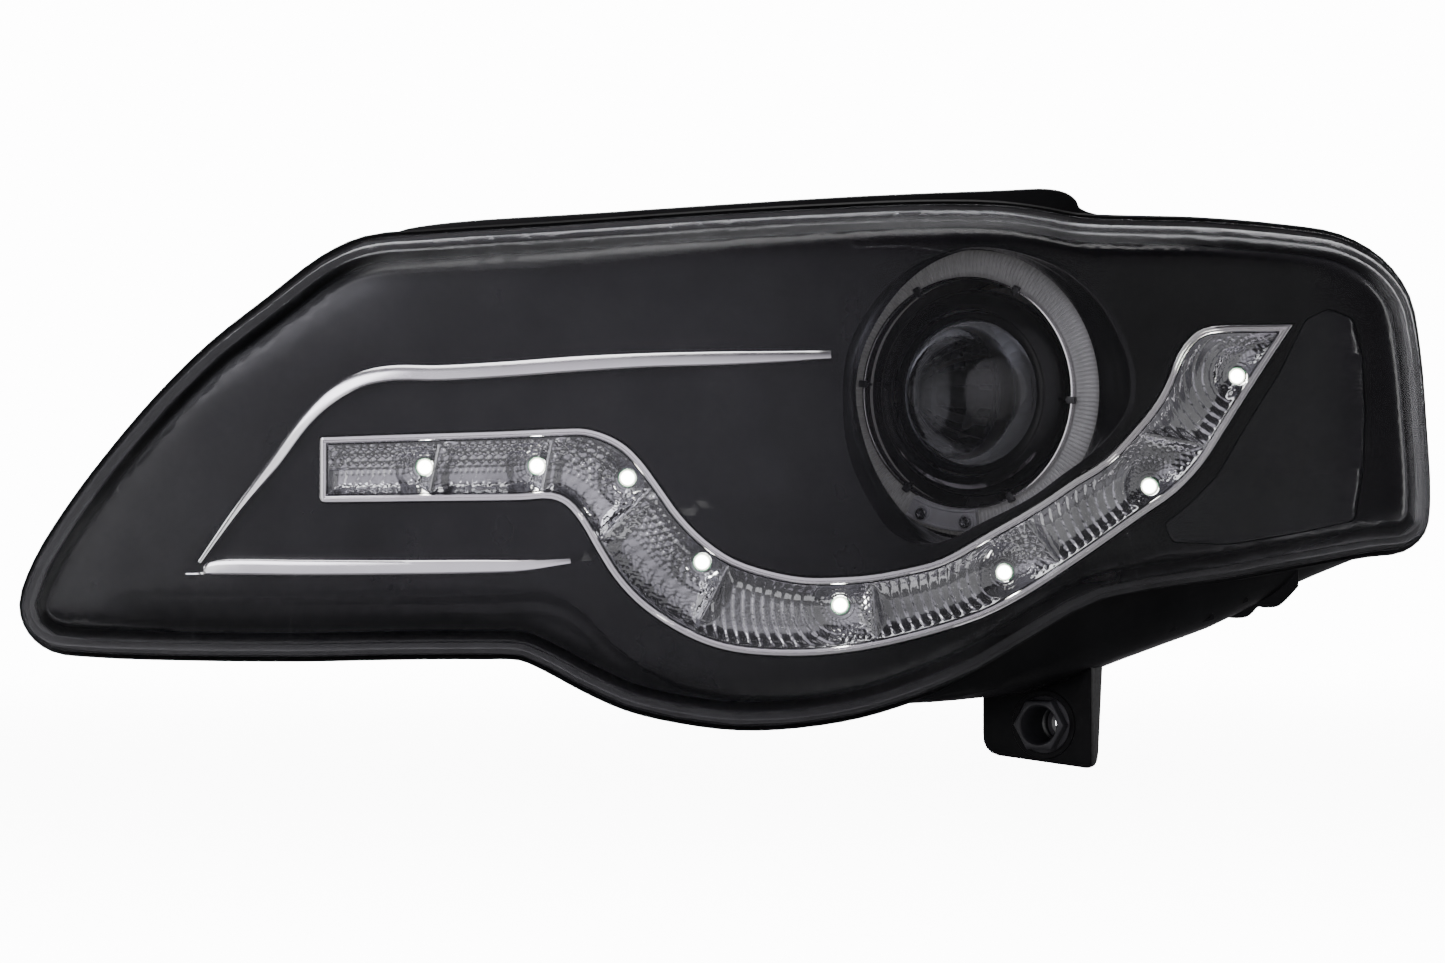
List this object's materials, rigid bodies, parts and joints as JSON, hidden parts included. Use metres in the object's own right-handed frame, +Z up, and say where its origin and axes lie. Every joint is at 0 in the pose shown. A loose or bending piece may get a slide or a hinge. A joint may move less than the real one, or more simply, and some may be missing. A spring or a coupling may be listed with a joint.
{
  "type": "car headlight assembly",
  "caption": "Left-hand car headlight with a wrap-around clear lens, black bezel, halo-ring projector, curved LED daytime strip, chrome trims and smoked turn signal.",
  "frame": {"origin": "middle of the assembly's bounding box", "axes": "-Y is the car's driving direction and the beam's axis, +X points outboard, +Z is up"},
  "size_m": [0.5258, 0.4146, 0.2466],
  "materials": {
    "clear_lens": "glossy clear polycarbonate with a hard coat",
    "housing_black": "moulded, fine grain",
    "bezel_black": "gloss black",
    "chrome_trim": "vacuum-metallised, bright",
    "reflector_chrome": "vacuum-metallised reflector",
    "projector_glass": "polished optical glass",
    "halo_light_guide": "ribbed translucent acrylic",
    "smoked_lens": "dark smoked acrylic, fine ribs",
    "smoked_reflector": "dark metallised",
    "circuit_board": "solder mask",
    "grey_plastic": "moulded grey",
    "white_nylon": "natural nylon",
    "dark_nylon": "glass-filled nylon",
    "cast_alloy": "as cast",
    "steel": "zinc plated",
    "rubber": "matt",
    "bulb_ceramic": "ceramic base with a glass tube",
    "amber_glass": "amber tinted",
    "led_white": "lit white light-emitting diode"
  },
  "bodies": {
    "lamp": {"housing": "housing_black", "front_lens": "clear_lens", "lens_seal": "rubber", "bezel": "bezel_black", "projector_cup": "bezel_black", "upper_chrome_strip": "chrome_trim", "lower_chrome_strip": "chrome_trim", "drl_frame": "chrome_trim", "drl_reflector": "reflector_chrome", "drl_board": "circuit_board", "drl_led_1": "led_white", "drl_led_2": "led_white", "drl_led_3": "led_white", "drl_led_4": "led_white", "drl_led_5": "led_white", "drl_led_6": "led_white", "drl_led_7": "led_white", "drl_led_8": "led_white", "turn_lens": "smoked_lens", "turn_reflector": "smoked_reflector", "halo_ring": "halo_light_guide", "halo_led_holder": "grey_plastic", "halo_screw_1": "steel", "halo_screw_2": "steel", "leveling_motor": "housing_black", "pivot_post_left": "white_nylon", "pivot_post_right": "white_nylon", "rear_cap_seal": "rubber", "wiring_connector": "grey_plastic", "breather_vent": "rubber", "led_driver": "cast_alloy", "driver_screw_1": "steel", "driver_screw_2": "steel", "upper_rail": "housing_black", "lower_bracket": "housing_black", "side_tab": "housing_black"},
    "level_frame": {"aim_frame": "housing_black"},
    "projector": {"projector_lens": "projector_glass", "lens_retainer": "bezel_black", "projector_trim": "chrome_trim", "projector_body": "cast_alloy", "projector_reflector": "reflector_chrome", "shutter_pin": "steel", "shutter_solenoid": "housing_black", "main_bulb": "bulb_ceramic"},
    "shutter": {"cutoff_shutter": "steel"},
    "plunger": {"solenoid_plunger": "steel"},
    "clip": {"bulb_clip": "steel"},
    "pushrod": {"leveling_pushrod": "white_nylon"},
    "vertical_knob": {"vertical_adjuster": "white_nylon"},
    "horizontal_screw": {"horizontal_adjuster": "white_nylon"},
    "cap": {"rear_cap": "rubber"},
    "turn_socket": {"turn_bulb_holder": "housing_black", "turn_bulb": "amber_glass"},
    "sleeve": {"adjusting_sleeve": "dark_nylon"}
  },
  "joints": [
    {"name": "beam_level", "type": "hinge", "parent": "lamp", "child": "level_frame", "pos_m": [0.09941, 0.07126, 0.08925], "axis": [1, 0, 0], "range_deg": [-3, 3]},
    {"name": "beam_swivel", "type": "hinge", "parent": "level_frame", "child": "projector", "pos_m": [0.09941, 0.07126, 0.03725], "axis": [0, 0, 1], "range_deg": [-3, 3]},
    {"name": "shutter_flip", "type": "hinge", "parent": "projector", "child": "shutter", "pos_m": [0.09941, 0.05626, 0.01425], "axis": [-1, 0, 0], "range_deg": [0, 20], "stiffness_Nm_per_rad": 0.03},
    {"name": "plunger_slide", "type": "slide", "parent": "projector", "child": "plunger", "axis": [0, -1, 0], "range_m": [0, 0.012]},
    {"name": "bulb_clip_swing", "type": "hinge", "parent": "projector", "child": "clip", "pos_m": [0.07341, 0.12786, 0.03725], "axis": [0, 0, 1], "range_deg": [0, 34]},
    {"name": "pushrod_slide", "type": "slide", "parent": "lamp", "child": "pushrod", "axis": [0, 1, 0], "range_m": [-0.008, 0.008]},
    {"name": "vertical_knob_turn", "type": "hinge", "parent": "lamp", "child": "vertical_knob", "pos_m": [0.09941, 0.20226, -0.04275], "axis": [0, 1, 0], "range_deg": [-190, 190]},
    {"name": "horizontal_screw_turn", "type": "hinge", "parent": "lamp", "child": "horizontal_screw", "pos_m": [0.03341, 0.16626, 0.03725], "axis": [0, 1, 0], "range_deg": [-190, 190]},
    {"name": "cap_twist", "type": "hinge", "parent": "lamp", "child": "cap", "pos_m": [0.09941, 0.16626, 0.03725], "axis": [0, 1, 0], "range_deg": [0, 45]},
    {"name": "turn_socket_twist", "type": "hinge", "parent": "lamp", "child": "turn_socket", "pos_m": [0.17622, 0.17517, 0.01125], "axis": [-0.4695, 0.8829, 0], "range_deg": [-45, 0]},
    {"name": "sleeve_turn", "type": "hinge", "parent": "lamp", "child": "sleeve", "pos_m": [0.13141, 0.03126, -0.10475], "axis": [0, 1, 0], "continuous": true}
  ],
  "couplings": [
    {"joint": "pushrod_slide", "follows": "beam_level", "m_per_rad": 0.132},
    {"joint": "vertical_knob_turn", "follows": "beam_level", "ratio": 60},
    {"joint": "horizontal_screw_turn", "follows": "beam_swivel", "ratio": 60},
    {"joint": "plunger_slide", "follows": "shutter_flip", "m_per_rad": 0.027}
  ]
}
